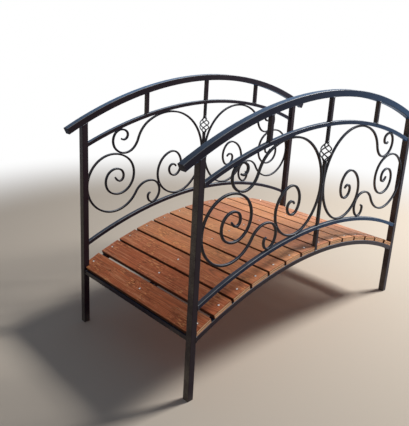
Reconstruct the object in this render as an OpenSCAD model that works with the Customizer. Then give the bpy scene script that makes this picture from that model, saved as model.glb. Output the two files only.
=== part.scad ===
// Garden footbridge with a low arched deck and two scrollwork railings.
// X runs along the walkway, Y across it and Z up. The origin lies on the ground under mid span.
// All sizes are in millimetres.

/* [Overall] */
// Length over the outer faces of the end posts
bridge_len = 2000; // [1900:10:2200]
// Width over the outer faces of the posts
bridge_w = 1000; // [700:10:1300]

/* [Posts and handrail] */
// Width of a square corner post
post_w = 38; // [32:1:50]
// Outer corner radius of the posts and the handrail
post_corner = 3; // [1:0.5:5]
// Height of the handrail's underside at mid span
handrail_z = 1479; // [1440:1:1560]
// How far the handrail falls from mid span to the outer post faces
handrail_rise = 220; // [190:1:250]
// Width of the handrail across the bridge
handrail_w = 40; // [36:1:50]
// Height of the handrail section
handrail_h = 38; // [25:1:45]
// How far the handrail's underside runs out past the posts
handrail_overhang = 84; // [40:1:120]

/* [Rails] */
// Side of the square tube in the mid rail, the lower rail and the studs
rail_w = 23; // [16:1:25]
// Outer corner radius of the rails, studs, stubs, stringers and beams
rail_corner = 2; // [1:0.5:3]
// Open height between handrail and mid rail at mid span
top_bay = 136; // [100:1:180]
// How far the mid rail falls from mid span to the outer post faces
mid_rail_rise = 210; // [190:1:230]
// Open height between the stringers and the lower rail at mid span
lower_bay = 136; // [100:1:170]
// How far the lower rail falls from mid span to the outer post faces
lower_rail_rise = 217; // [200:1:235]
// Side of the square stub under the lower rail, which stands where two boards meet
stub_w = 23; // [14:1:25]
// Distance of the outer studs from mid span
stud_x = 515; // [380:1:620]

/* [Infill] */
// Side of the square scroll bar
scroll_bar = 12; // [9:1:13]
// Side of the square bar at mid span
centre_bar = 16; // [12:1:18]
// How far the middle of the twisted basket lies below the mid rail
basket_drop = 149; // [120:1:200]
// Length of the basket between its collars
basket_len = 104; // [80:1:120]
// Greatest width over the basket's wires
basket_w = 74; // [50:1:84]
// Thickness of a basket wire
basket_wire = 8; // [6:1:9]
// Turn of the basket's wires from one collar to the other, clockwise seen from above
basket_turn = 270; // [180:15:300]
// Width of the round collar at each end of the basket
collar_w = 24; // [22:1:28]
// Height of a collar
collar_h = 10; // [8:1:16]

/* [Deck] */
// Height of the stringers' underside at mid span
stringer_z = 545; // [520:1:560]
// How far the stringers fall from mid span to the outer post faces
stringer_rise = 232; // [210:1:240]
// Height of the stringer section
stringer_h = 28; // [20:1:32]
// Width of a stringer; the outer ones lie flush with the posts
stringer_w = 38; // [20:1:38]
// Side of the square beam under each end of the deck
beam_w = 25; // [20:1:30]
// Gap between boards, at their undersides
board_gap = 14; // [8:1:20]
// The wider gap inside each end board, at the undersides
end_gap = 23; // [13:1:32]
// Thickness of a board
board_h = 27; // [19:1:32]
// Radius of a board's long edges
board_edge = 1.5; // [0.5:0.5:4]
// How far the end boards' lower edges lie inside the posts' outer faces
board_setback = 23; // [16:1:30]
// How far the boards stop short of the posts' outer faces
board_inset = 1; // [0:0.5:6]
// Clearance round a post or a stub where a board is notched
notch_gap = 2; // [1:0.5:5]

/* [Hidden] */
// Segments of a full circle in the long arcs and in the collars
rail_fn = 720;
collar_fn = 16;
// Steps along a basket wire, and its number of sides
basket_steps = 24;
basket_sides = 6;
// Steps round a tube's or a board's corner
edge_steps = 3;

// One board for each node named below
board_count = 14;

half_len = bridge_len / 2;
half_w = bridge_w / 2;
post_in = half_len - post_w;
post_y = half_w - post_w / 2;
rail_y = half_w - rail_w / 2;
stringer_y = half_w - stringer_w / 2;

// The radius of an arc that falls by rise over half the bridge's length
function arc_radius(rise) = (half_len * half_len + rise * rise) / (2 * rise);
// The height at x of an arc with the given top
function arc_z(top, radius, x) = top - radius + sqrt(radius * radius - x * x);

mid_rail_z = handrail_z - top_bay - rail_w;
lower_rail_z = stringer_z + stringer_h + lower_bay;
basket_z = mid_rail_z - basket_drop;
handrail_r = arc_radius(handrail_rise);
mid_rail_r = arc_radius(mid_rail_rise);
lower_rail_r = arc_radius(lower_rail_rise);
stringer_r = arc_radius(stringer_rise);
deck_r = stringer_r + stringer_h;

// The boards lie on the arch, and the end boards' lower edges rest on the cross beams.
// Angles are taken about the stringers' centre.
deck_angle = 2 * asin((half_len - board_setback) / deck_r);
gap_angle = 2 * asin(board_gap / 2 / deck_r);
end_gap_angle = 2 * asin(end_gap / 2 / deck_r);
board_angle = (deck_angle - 2 * end_gap_angle - (board_count - 3) * gap_angle) / board_count;
board_w = 2 * deck_r * tan(board_angle / 2);
board_edge_r = deck_r / cos(board_angle / 2);
end_x = board_edge_r * sin(deck_angle / 2);
end_z = stringer_z - stringer_r + board_edge_r * cos(deck_angle / 2);
// The cross beams lie under those edges
beam_x = end_x;
beam_in = beam_x - beam_w / 2;

right = -1;
left = 1;
front = -1;
back = 1;

module metal() {
    color("#26282b") children();
}

module wood() {
    color("#9c5a41") children();
}

// A disc that fills everything under an arch, standing in the plane of a railing
module under_arc(top, radius) {
    translate([0, 0, top - radius]) rotate([90, 0, 0])
        cylinder(r = radius, h = bridge_w * 2, center = true, $fn = rail_fn);
}

// The points of a rectangle with rounded corners, centred across and standing on zero
function corner(cx, cz, r, from) = [for (k = [0:edge_steps])
    [cx + r * cos(from + 90 * k / edge_steps), cz + r * sin(from + 90 * k / edge_steps)]];
function rounded(w, h, r) = let (a = w / 2 - r, b = h - r)
    concat(corner(a, b, r, 0), corner(-a, b, r, 90), corner(-a, r, r, 180), corner(a, r, r, 270));

// A tube bent to an arch, with ends square to the arch
module arched_bar(bottom, radius, h, w, r, y, half_turn) {
    translate([0, y, bottom - radius]) rotate([90, 0, 0])
        rotate_extrude(angle = 2 * half_turn, start = 90 - half_turn, $fn = rail_fn)
            translate([radius, 0]) rotate(-90) polygon(rounded(w, h, r));
}

// The same from x = -reach to x = reach, with upright ends
module arched_tube(bottom, radius, h, w, y, reach) {
    spare = 2;
    intersection() {
        arched_bar(bottom, radius, h, w, rail_corner, y, asin(reach / radius) + spare);
        translate([-reach, y - w, bottom - half_len]) cube([2 * reach, 2 * w, bridge_len]);
    }
}

// An upright square tube
module upright(x, y, w, r, low, high) {
    translate([x, y - w / 2, low]) linear_extrude(high - low) polygon(rounded(w, w, r));
}

module post(side, end) {
    metal() intersection() {
        upright(end * (half_len - post_w / 2), side * post_y, post_w, post_corner, 0, handrail_z);
        under_arc(handrail_z, handrail_r);
    }
}

module handrail(side) {
    metal() arched_bar(handrail_z, handrail_r, handrail_h, handrail_w, post_corner, side * post_y,
        asin((half_len + handrail_overhang) / handrail_r));
}

module mid_rail(side) {
    metal() arched_tube(mid_rail_z, mid_rail_r, rail_w, rail_w, side * rail_y, post_in);
}

module lower_rail(side) {
    metal() arched_tube(lower_rail_z, lower_rail_r, rail_w, rail_w, side * rail_y, post_in);
}

// Three short uprights that carry the handrail on the mid rail
module studs(side) {
    foot = mid_rail_z - mid_rail_rise;
    metal() for (x = [-stud_x, 0, stud_x]) difference() {
        intersection() {
            upright(x, side * rail_y, rail_w, rail_corner, foot, handrail_z);
            under_arc(handrail_z, handrail_r);
        }
        under_arc(mid_rail_z + rail_w, mid_rail_r + rail_w);
    }
}

// The upright at mid span, in two lengths with the basket between them
module centre_bar_pair(side) {
    upper = basket_z + basket_len / 2 + collar_h;
    lower = basket_z - basket_len / 2 - collar_h;
    metal() {
        intersection() {
            translate([-centre_bar / 2, side * rail_y - centre_bar / 2, upper])
                cube([centre_bar, centre_bar, mid_rail_z - upper]);
            under_arc(mid_rail_z, mid_rail_r);
        }
        difference() {
            translate([-centre_bar / 2, side * rail_y - centre_bar / 2, lower_rail_z])
                cube([centre_bar, centre_bar, lower - lower_rail_z]);
            under_arc(lower_rail_z + rail_w, lower_rail_r + rail_w);
        }
    }
}

// The basket's wires start and end inside the collars, where they lie close together
wire_in = collar_w / 2 - basket_wire;
wire_out = (basket_w - basket_wire) / 2;
// A point on the centre line of a basket wire, where t runs from 0 to 1
function wire_r(t) = wire_in + (wire_out - wire_in) * sin(180 * t);
function wire_side(t, start) = let (a = start - basket_turn * t) [cos(a), sin(a), 0];
function wire_point(t, start) = wire_r(t) * wire_side(t, start)
    + [0, 0, (t - 1 / 2) * (basket_len + collar_h)];

function unit(v) = v / norm(v);

// A ring of points round the wire at t, square to its run
function wire_ring(t, start) =
    let (step = 1 / basket_steps / 2,
        run = unit(wire_point(t + step, start) - wire_point(t - step, start)),
        across = unit(cross(run, wire_side(t, start))),
        out = cross(across, run))
    [for (k = [0:basket_sides - 1]) let (a = 360 * k / basket_sides)
        wire_point(t, start) + basket_wire / 2 * (cos(a) * out + sin(a) * across)];

module basket_strand(start) {
    rings = [for (i = [0:basket_steps]) each wire_ring(i / basket_steps, start)];
    sides = [for (i = [0:basket_steps - 1]) for (k = [0:basket_sides - 1])
        let (a = i * basket_sides + k, b = i * basket_sides + (k + 1) % basket_sides)
        [a, a + basket_sides, b + basket_sides, b]];
    bottom = [for (k = [0:basket_sides - 1]) k];
    top = [for (k = [basket_sides - 1:-1:0]) basket_steps * basket_sides + k];
    polyhedron(points = rings, faces = concat([bottom, top], sides));
}

// Four wires start at the corners of the bar below
module basket(side) {
    metal() translate([0, side * rail_y, basket_z]) {
        for (start = [45:90:315]) basket_strand(start);
        for (end = [-1, 1]) translate([0, 0, end * (basket_len + collar_h) / 2])
            cylinder(d = collar_w, h = collar_h, center = true, $fn = collar_fn);
    }
}

// The stub that carries the lower rail on the stringer, in the gap at mid span
module stub(side) {
    metal() difference() {
        intersection() {
            upright(0, side * (half_w - stub_w / 2), stub_w, rail_corner, stringer_z, lower_rail_z);
            under_arc(lower_rail_z, lower_rail_r);
        }
        under_arc(stringer_z + stringer_h, deck_r);
    }
}

// Scrolls. Each is a chain of arcs, given as [radius, turn in degrees], a left turn being positive.
// They are drawn for the front half of a panel, on the bar's centre line, from the inner end out.
big_scroll_start = [-753, 912, -60];
big_scroll_arcs = [[79, 21.5], [27, 109], [45, 81], [74, 93], [83, 89], [116, 94.5], [128, 76], [192, 37.5],
    [182, 127.5], [199, 110.5], [123, -76], [78, -137.5], [32, -51], [45, -74.5], [20, -83]];
long_scroll_start = [-709, 1151, -44];
long_scroll_arcs = [[29, 105], [29, 80], [60, 104], [76, 69], [98, 95], [132, 23], [194, -43.5], [337, -37],
    [307, -76.7], [274, -59.3], [184, -87.5], [140, -111.5], [75, -60.5], [100, -79.5], [48, -147.5],
    [31, -155]];

// The limits of the bar's centre line on the drawn panel: x at the post and at mid span, then the top
// and radius of the arc over the lower rail and of the arc under the mid rail
drawn = [[-956, -14], [738, 2442], [1314, 2480]];

function arc_point(p, r, turn, part) =
    let (s = sign(turn), a = p[2] + turn * part)
    [p[0] - s * r * sin(p[2]) + s * r * sin(a), p[1] + s * r * cos(p[2]) - s * r * cos(a), a];

// The longest straight step along a drawn scroll, in degrees of turn and in length
scroll_steps = [8, 22];

// The points and headings along a chain of arcs
function chain(arcs, p, i = 0) = i == len(arcs) ? [p] :
    let (turn = abs(arcs[i][1]),
        n = ceil(max(turn / scroll_steps[0], PI * arcs[i][0] * turn / 180 / scroll_steps[1])))
    concat([for (k = [0:n - 1]) arc_point(p, arcs[i][0], arcs[i][1], k / n)],
        chain(arcs, arc_point(p, arcs[i][0], arcs[i][1], 1), i + 1));

// Moves a drawn point to the real panel between post, centre bar and the two rails
function fitted_x(x) =
    let (from = -post_in + scroll_bar / 2, to = -(centre_bar + scroll_bar) / 2)
    from + (x - drawn[0][0]) * (to - from) / (drawn[0][1] - drawn[0][0]);
function fitted_z(x, z) =
    let (low = arc_z(drawn[1][0], drawn[1][1], x),
        high = arc_z(drawn[2][0], drawn[2][1], x),
        rest = rail_w + scroll_bar / 2,
        real_low = arc_z(lower_rail_z + rest, lower_rail_r + rest, fitted_x(x)),
        real_high = arc_z(mid_rail_z - scroll_bar / 2, mid_rail_r - scroll_bar / 2, fitted_x(x)))
    real_low + (z - low) * (real_high - real_low) / (high - low);
function fitted(p) = [fitted_x(p[0]), fitted_z(p[0], p[1])];
function fitted_side(p, w) =
    let (d = 0.5, run = unit(fitted([p[0] + d * cos(p[2]), p[1] + d * sin(p[2])])
        - fitted([p[0] - d * cos(p[2]), p[1] - d * sin(p[2])])))
    fitted(p) + w * [-run[1], run[0]];

module scroll(arcs, start, side, end) {
    line = chain(arcs, start);
    n = len(line);
    outline = concat([for (p = line) fitted_side(p, scroll_bar / 2)],
        [for (i = [n - 1:-1:0]) fitted_side(line[i], -scroll_bar / 2)]);
    metal() translate([0, side * rail_y, 0]) mirror([end == back ? 1 : 0, 0, 0])
        rotate([90, 0, 0]) linear_extrude(scroll_bar, center = true) polygon(outline);
}

module big_scroll(side, end) {
    scroll(big_scroll_arcs, big_scroll_start, side, end);
}

module long_scroll(side, end) {
    scroll(long_scroll_arcs, long_scroll_start, side, end);
}

module stringer(y, reach) {
    metal() arched_tube(stringer_z, stringer_r, stringer_h, stringer_w, y, reach);
}

module beam(end) {
    metal() translate([end * beam_x, 0, end_z - beam_w]) rotate([90, 0, 0])
        linear_extrude(bridge_w - 2 * post_w, center = true) polygon(rounded(beam_w, beam_w, rail_corner));
}

// The end boards are notched round the posts, and the two at mid span round the stubs
module board(i) {
    from_middle = i - (board_count + 1) / 2;
    is_end = i == 1 || i == board_count;
    turn = is_end ? sign(from_middle) * (deck_angle - board_angle) / 2
        : from_middle * (board_angle + gap_angle);
    notch = 2 * (post_w + notch_gap);
    stub_notch = stub_w + notch_gap;
    wood() difference() {
        translate([0, 0, stringer_z - stringer_r]) rotate([0, turn, 0]) translate([0, 0, deck_r])
            rotate([90, 0, 0]) linear_extrude(bridge_w - 2 * board_inset, center = true)
                polygon(rounded(board_w, board_h, board_edge));
        if (is_end) for (side = [left, right])
            translate([sign(turn) * half_len, side * half_w, 0])
                cube([notch, notch, bridge_len], center = true);
        if (abs(from_middle) < 1) for (side = [left, right])
            translate([0, side * half_w, 0])
                cube([stub_w + 2 * notch_gap, 2 * stub_notch, bridge_len], center = true);
    }
}

post(right, front);  // right_front_post
post(right, back);  // right_back_post
post(left, front);  // left_front_post
post(left, back);  // left_back_post
handrail(right);  // right_handrail
handrail(left);  // left_handrail
mid_rail(right);  // right_mid_rail
mid_rail(left);  // left_mid_rail
lower_rail(right);  // right_lower_rail
lower_rail(left);  // left_lower_rail
studs(right);  // right_studs
studs(left);  // left_studs
centre_bar_pair(right);  // right_centre_bar
centre_bar_pair(left);  // left_centre_bar
basket(right);  // right_basket
basket(left);  // left_basket
stub(right);  // right_stub
stub(left);  // left_stub
big_scroll(right, front);  // right_front_big_scroll
big_scroll(right, back);  // right_back_big_scroll
big_scroll(left, front);  // left_front_big_scroll
big_scroll(left, back);  // left_back_big_scroll
long_scroll(right, front);  // right_front_long_scroll
long_scroll(right, back);  // right_back_long_scroll
long_scroll(left, front);  // left_front_long_scroll
long_scroll(left, back);  // left_back_long_scroll
stringer(-stringer_y, post_in);  // right_stringer
stringer(stringer_y, post_in);  // left_stringer
stringer(0, beam_in);  // middle_stringer
beam(front);  // front_beam
beam(back);  // back_beam
board(1);  // board_1
board(2);  // board_2
board(3);  // board_3
board(4);  // board_4
board(5);  // board_5
board(6);  // board_6
board(7);  // board_7
board(8);  // board_8
board(9);  // board_9
board(10);  // board_10
board(11);  // board_11
board(12);  // board_12
board(13);  // board_13
board(14);  // board_14
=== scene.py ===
import math
import random

import bmesh
import bpy
from mathutils import Matrix, Vector


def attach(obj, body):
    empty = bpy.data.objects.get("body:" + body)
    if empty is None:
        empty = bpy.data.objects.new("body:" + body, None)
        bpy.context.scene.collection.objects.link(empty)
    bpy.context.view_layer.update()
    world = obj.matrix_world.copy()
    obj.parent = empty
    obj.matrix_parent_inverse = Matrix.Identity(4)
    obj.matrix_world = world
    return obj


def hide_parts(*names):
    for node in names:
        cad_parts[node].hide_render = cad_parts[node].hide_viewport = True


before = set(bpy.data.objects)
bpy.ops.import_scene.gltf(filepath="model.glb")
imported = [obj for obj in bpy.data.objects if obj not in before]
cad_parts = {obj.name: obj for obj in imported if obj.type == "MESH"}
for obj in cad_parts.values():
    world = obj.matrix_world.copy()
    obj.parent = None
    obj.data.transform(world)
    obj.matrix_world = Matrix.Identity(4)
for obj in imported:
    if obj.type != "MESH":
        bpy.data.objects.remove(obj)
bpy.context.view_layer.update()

print("frame loaded:", len(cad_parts), "nodes")


def linear(code):
    # sRGB hex to the linear values that the shaders work in
    parts = [int(code[i:i + 2], 16) / 255 for i in (1, 3, 5)]
    return tuple(c / 12.92 if c <= 0.04045 else ((c + 0.055) / 1.055) ** 2.4 for c in parts) + (1.0,)


def add(tree, kind, sockets=(), **settings):
    # adds a node; a socket is linked, a node is linked by its first output in use, the rest is set
    made = tree.nodes.new(kind)
    for name, value in settings.items():
        setattr(made, name, value)
    for key, value in sockets.items() if isinstance(sockets, dict) else enumerate(sockets):
        if isinstance(value, bpy.types.Node):
            value = next(output for output in value.outputs if output.enabled)
        if isinstance(value, bpy.types.NodeSocket):
            tree.links.new(value, made.inputs[key])
        else:
            made.inputs[key].default_value = value
    return made


# what the scene repeats from the model, in metres and degrees
bridge = {
    "halfLength": 1.0,
    "halfWidth": 0.5,
    "postWidth": 0.038,
    "postCorner": 0.003,
    "handrail": (1.479, 0.220, 0.038),      # underside at mid span, fall to the post faces, height
    "handrailWidth": 0.040,
    "handrailOverhang": 0.084,
    "midRail": (1.320, 0.210, 0.023),
    "lowerRail": (0.709, 0.217, 0.023),
    "railWidth": 0.023,
    "railCorner": 0.002,
    "stubWidth": 0.023,
    "stringer": (0.545, 0.232, 0.028),
    "stringerWidth": 0.038,
    "beam": (0.97739, 0.33092, 0.025),      # centre in x, underside, side
    "studAt": 0.515,
    "scrollBar": 0.012,
    "centreBar": 0.016,
    "barCorner": 0.001,
    "boards": 14,
    "boardAngle": 3.2364,
    "boardPitch": 3.5852,
    "endBoardAt": 23.5284,                  # the gaps inside the end boards are wider
    "boardHeight": 0.027,
}


def arcRadius(name):
    fall = bridge[name][1]
    return (bridge["halfLength"] ** 2 + fall ** 2) / (2 * fall)


def arcHeight(name, x, above=0.0):
    # height of an arch's underside at x, or of a line that much above it
    radius = arcRadius(name)
    return bridge[name][0] - radius + math.sqrt((radius + above) ** 2 - x * x)


postIn = bridge["halfLength"] - bridge["postWidth"]
postY = bridge["halfWidth"] - bridge["postWidth"] / 2
railY = bridge["halfWidth"] - bridge["railWidth"] / 2
deckCentre = bridge["stringer"][0] - arcRadius("stringer")
deckRadius = arcRadius("stringer") + bridge["stringer"][2]
boardPitch = math.radians(bridge["boardPitch"])
endBoardAt = math.radians(bridge["endBoardAt"])
boardHalf = deckRadius * math.tan(math.radians(bridge["boardAngle"] / 2))

# materials
paint = {
    # each coat: colour, painted sky colour for the top faces, roughness, shine, sky-blue sheen, width and
    # height of the waves in it.
    # The arched rails get a stronger painted sky reflection, so they look colder and hazier. Real orange
    # peel is 2-4 mm wide, drawn 9 mm so that it shows; the bars' and welds' waves are hammer marks and
    # ripples
    "coats": {
        "satinEnamelTube": ("#2B191E", "#27344A", 0.32, 0.14, 0.14, 0.009, 0.00008),
        "satinEnamelRail": ("#281C1E", "#4A4D58", 0.25, 0.04, 0.90, 0.009, 0.00008),
        "satinEnamelBar": ("#171519", "#27344A", 0.34, 0.14, 0.14, 0.014, 0.0003),
        "satinEnamelWeld": ("#2B191E", "#27344A", 0.28, 0.14, 0.14, 0.004, 0.0004),
    },
    "waves": (2.0, 0.45),      # the waves' detail and roughness
    "cloud": (0.11, 4.0, 0.6),  # size, detail and roughness of the slow changes in the coat
    "speck": (0.006, 2.0, 0.7),
    "thin": "#33282A",         # where the coat is thinner
    # how much of the painted sky reflection the top faces get
    "skyOnTop": 0.85,
    "edgeHighlightColour": "#E6F0FC",       # painted highlight, near white, along the upper edges
    "edgeHighlightStrength": 0.90,
    "dustAndSheenColour": "#8C8376",         # pale road dust, also the colour of the painted ground sheen
    "dustRoughness": 0.5,      # what a full layer of it adds
    "dustOnTop": 0.05,
    "dustOnFeet": 0.30,
    "splash": 0.08,            # how high the feet are splashed
    "groundSheen": 0.80,              # painted sheen of reflected ground, brownish, on parts of the posts' front and back faces
    "groundSheenLuck": 0.9,           # picks where it lies
    "groundSheenPatches": 1.3,        # per metre
    # blue tint on the reflections: painted sky colour
    "skyShineTint": "#D6E4FF",
    "skySheenTint": "#3CA8FF",     # a sheen tinted sky-blue at a low angle: painted reflection of a blue sky
    "skySheenSpread": 0.33,
}


def shaderTree(name):
    # a material, its empty tree, and the place on the piece that its patterns follow
    made = bpy.data.materials.new(name)
    made.use_nodes = True
    tree = made.node_tree
    tree.nodes.clear()
    return made, tree, add(tree, "ShaderNodeTexCoord").outputs["Object"]


def enamelledSteel(name, colour, skyColour, roughness, shine, skySheen, waveWidth, waveHeight):
    # satin enamel over mild steel: near-black body colour with a painted blue-grey sky reflection on its
    # top faces and a painted highlight along its upper edges, soft highlights that break up slightly where
    # the brush left waves, a breath of dust, and a patchy painted sheen of reflected ground on faces that
    # look along the bridge
    made, tree, place = shaderTree(name)
    facing = add(tree, "ShaderNodeNewGeometry").outputs["Normal"]
    height = add(tree, "ShaderNodeSeparateXYZ", [place]).outputs["Z"]
    endways, sideways, up = add(tree, "ShaderNodeSeparateXYZ", [facing]).outputs
    cloud, speck, waves = [
        add(tree, "ShaderNodeTexNoise",
            {"Vector": place, "Scale": 1 / size, "Detail": detail, "Roughness": rough})
        for size, detail, rough in (paint["cloud"], paint["speck"], (waveWidth, *paint["waves"]))]
    # patches of the painted ground sheen
    groundSheenNoise = add(tree, "ShaderNodeTexNoise", {"Vector": place, "W": paint["groundSheenLuck"],
                "Scale": paint["groundSheenPatches"], "Detail": 1.0}, noise_dimensions="4D")
    grain = add(tree, "ShaderNodeMath", [cloud, speck], operation="MULTIPLY")
    lean = add(tree, "ShaderNodeMath", [endways], operation="ABSOLUTE")
    # rounded edges lie between the side faces (Y is 1) and the others (Y is 0)
    side = add(tree, "ShaderNodeMath", [sideways, sideways], operation="MULTIPLY")
    notSide = add(tree, "ShaderNodeMath", [1.0, side], operation="SUBTRACT")
    edge = add(tree, "ShaderNodeMath", [side, notSide], operation="MULTIPLY")
    # each mask: what it follows, from where to where, and its values there. The sky mask paints a sky
    # reflection on the top faces; the painted edge highlight is full on edges that face the right (-Y) and
    # weaker on those that face left
    mask = {}
    for label, source, low, high, first, last in (
            ("thin", cloud, 0.35, 0.75, 0.0, 1.0),
            ("sky", up, -0.1, 0.9, 0.0, paint["skyOnTop"]),
            ("ridge", edge, 0.02, 0.065, 0.0, paint["edgeHighlightStrength"]),
            ("above", up, 0.15, 0.45, 0.0, 1.0),
            ("highlightSide", sideways, -0.2, 0.2, 1.0, 0.2),
            ("level", lean, 0.05, 0.35, 1.0, 0.3),
            ("highlightBreaks", cloud, 0.35, 0.60, 0.50, 1.0),
            ("top", up, 0.3, 1.0, 0.0, paint["dustOnTop"]),
            ("foot", height, 0.0, paint["splash"], paint["dustOnFeet"], 0.0),
            ("groundSheen", groundSheenNoise, 0.40, 0.58, 0.0, paint["groundSheen"]),
            ("endOn", lean, 0.5, 0.9, 0.0, 1.0),
            ("patchy", grain, 0.12, 0.40, 0.25, 1.0),
            ("rough", cloud, 0.3, 0.7, roughness - 0.05, roughness + 0.07)):
        mask[label] = add(tree, "ShaderNodeMapRange", {"Value": source, "From Min": low, "From Max": high,
                          "To Min": first, "To Max": last})
    # painted highlight on the upper edges: on the right-facing side and on level stretches, broken up in
    # patches
    paintedEdgeHighlight = mask["ridge"]
    for label in ("above", "highlightSide", "level", "highlightBreaks"):
        paintedEdgeHighlight = add(tree, "ShaderNodeMath", [paintedEdgeHighlight, mask[label]], operation="MULTIPLY")
    # dust lies on what faces up, thicker in some places, and is splashed up the feet; a patchy painted
    # sheen of reflected ground, in the same colour, lies on faces that look along the bridge
    splashed = add(tree, "ShaderNodeMath", [mask["top"], mask["foot"]], operation="ADD")
    dustAndGroundSheen = add(tree, "ShaderNodeMath", [mask["groundSheen"], mask["endOn"], splashed],
                  operation="MULTIPLY_ADD")
    dustAndGroundSheenCover = add(tree, "ShaderNodeMath", [dustAndGroundSheen, mask["patchy"]], operation="MULTIPLY", use_clamp=True)
    # the coat: body colour, thinner coat, painted sky reflection on top, painted edge highlight, and dust
    # with a painted sheen of reflected ground
    coat = linear(colour)
    for factor, shade in ((mask["thin"], paint["thin"]), (mask["sky"], skyColour),
                          (paintedEdgeHighlight, paint["edgeHighlightColour"]), (dustAndGroundSheenCover, paint["dustAndSheenColour"])):
        coat = add(tree, "ShaderNodeMix", {"Factor": factor, 6: coat, 7: linear(shade)}, data_type="RGBA")
    rough = add(tree, "ShaderNodeMath", [dustAndGroundSheenCover, paint["dustRoughness"], mask["rough"]],
                operation="MULTIPLY_ADD", use_clamp=True)
    wavy = add(tree, "ShaderNodeBump", {"Strength": 0.5, "Distance": waveHeight, "Height": waves})
    grit = add(tree, "ShaderNodeBump", {"Strength": 0.1, "Distance": 0.0001, "Height": speck,
               "Normal": wavy})
    # the reflections get a blue tint and a sky-blue sheen: painted sky colour
    shader = add(tree, "ShaderNodeBsdfPrincipled",
                 {"Base Color": coat, "Roughness": rough, "Normal": grit, "IOR": 1.5,
                  "Specular IOR Level": shine, "Specular Tint": linear(paint["skyShineTint"]),
                  "Sheen Weight": skySheen, "Sheen Roughness": paint["skySheenSpread"],
                  "Sheen Tint": linear(paint["skySheenTint"])})
    add(tree, "ShaderNodeOutputMaterial", {"Surface": shader})
    return made


wood = {
    "early": "#CE764F",        # stained pine between the rings
    "late": "#8E4A34",         # the harder, darker part of each ring
    "fleck": "#E8A67C",        # dry streaks that took less stain
    "dash": "#F2B276",         # short dry marks in clusters
    "paintedSunlight": "#DDB18A",     # painted sunlight: paler boards from near mid span to the back
    "paintedSunStrength": 0.38,
    "knot": "#6E3A25",
    "check": "#331710",        # drying cracks along the grain
    "gap": "#190F0B",          # painted shade, with some grime, on the faces inside the gaps
    "bruise": "#4A2517",       # round each screw
    "endLight": "#F4CBA6",     # cut ends, where the stain sank in and dried pale
    "endDark": "#CB8C66",
    "endRim": "#7E4029",
    "ringWidth": 0.0050,
    "ringMark": 0.62,          # how strongly they show
    "ragged": 0.6,             # how far the fibres blur them
    # each pattern: marks per metre across and along the board, detail, roughness and distortion.
    # Real fibres are finer than 1.8 mm and are drawn that coarse so that they show
    "patterns": {
        "fibre": (1 / 0.0018, 9.0, 3.0, 0.6, 0.0),
        "streak": (1 / 0.011, 4.5, 4.0, 0.65, 0.3),
        "dash": (1 / 0.006, 1 / 0.030, 2.0, 0.5, 0.0),
        "cluster": (1 / 0.09, 1 / 0.09, 1.0, 0.5, 0.0),
        "crack": (1 / 0.014, 2.2, 2.0, 0.5, 0.0),
        "crackPatch": (1 / 0.07, 1 / 0.07, 1.0, 0.5, 0.0),
        "patch": (1 / 0.16, 1 / 0.16, 3.0, 0.55, 0.0),
        "wander": (1.5, 1.2, 1.0, 0.3, 0.0),
    },
    "wander": 0.05,            # how far the pith wanders along the board
    "pithAcross": (0.16, -0.055),   # range and start of its place, across and in depth
    "pithDepth": (-0.07, -0.005),
    "knotCells": (5.0, 3.1, 0.0),   # per metre, and the share that holds a knot
    "knotShare": 0.10,
    "knotPull": (0.0, 0.20, 0.016),  # where rings bend round a knot, and how far
    "knotCore": (0.016, 0.030),
    "apart": 5.3,              # metres between two boards in the pattern
    "tone": 0.13,              # how much the boards differ in lightness
    "hue": (0.011, 0.493),     # range and start of their shift in hue
    "luck": 15.9,              # picks where each board lay in its tree
    "toneLuck": 27.4,          # picks the boards' own tones
    "splitWave": (0.045, 0.022),    # length and height of the waves in the crack across a cut
    "crackAt": 0.52,           # value of the crack pattern along which a crack runs
    "rimWander": 0.003,
    "endFaces": 0.7,           # faces that look along the board by more than this are cut ends
    "gapFaces": 0.4,           # faces that look out of the deck by less than this lie in gaps
    "roughness": 0.56,
    "lateRoughness": -0.10,    # what late wood and cut ends add to it
    "endRoughness": 0.25,
    "screwLine": 0.466,
}


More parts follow.
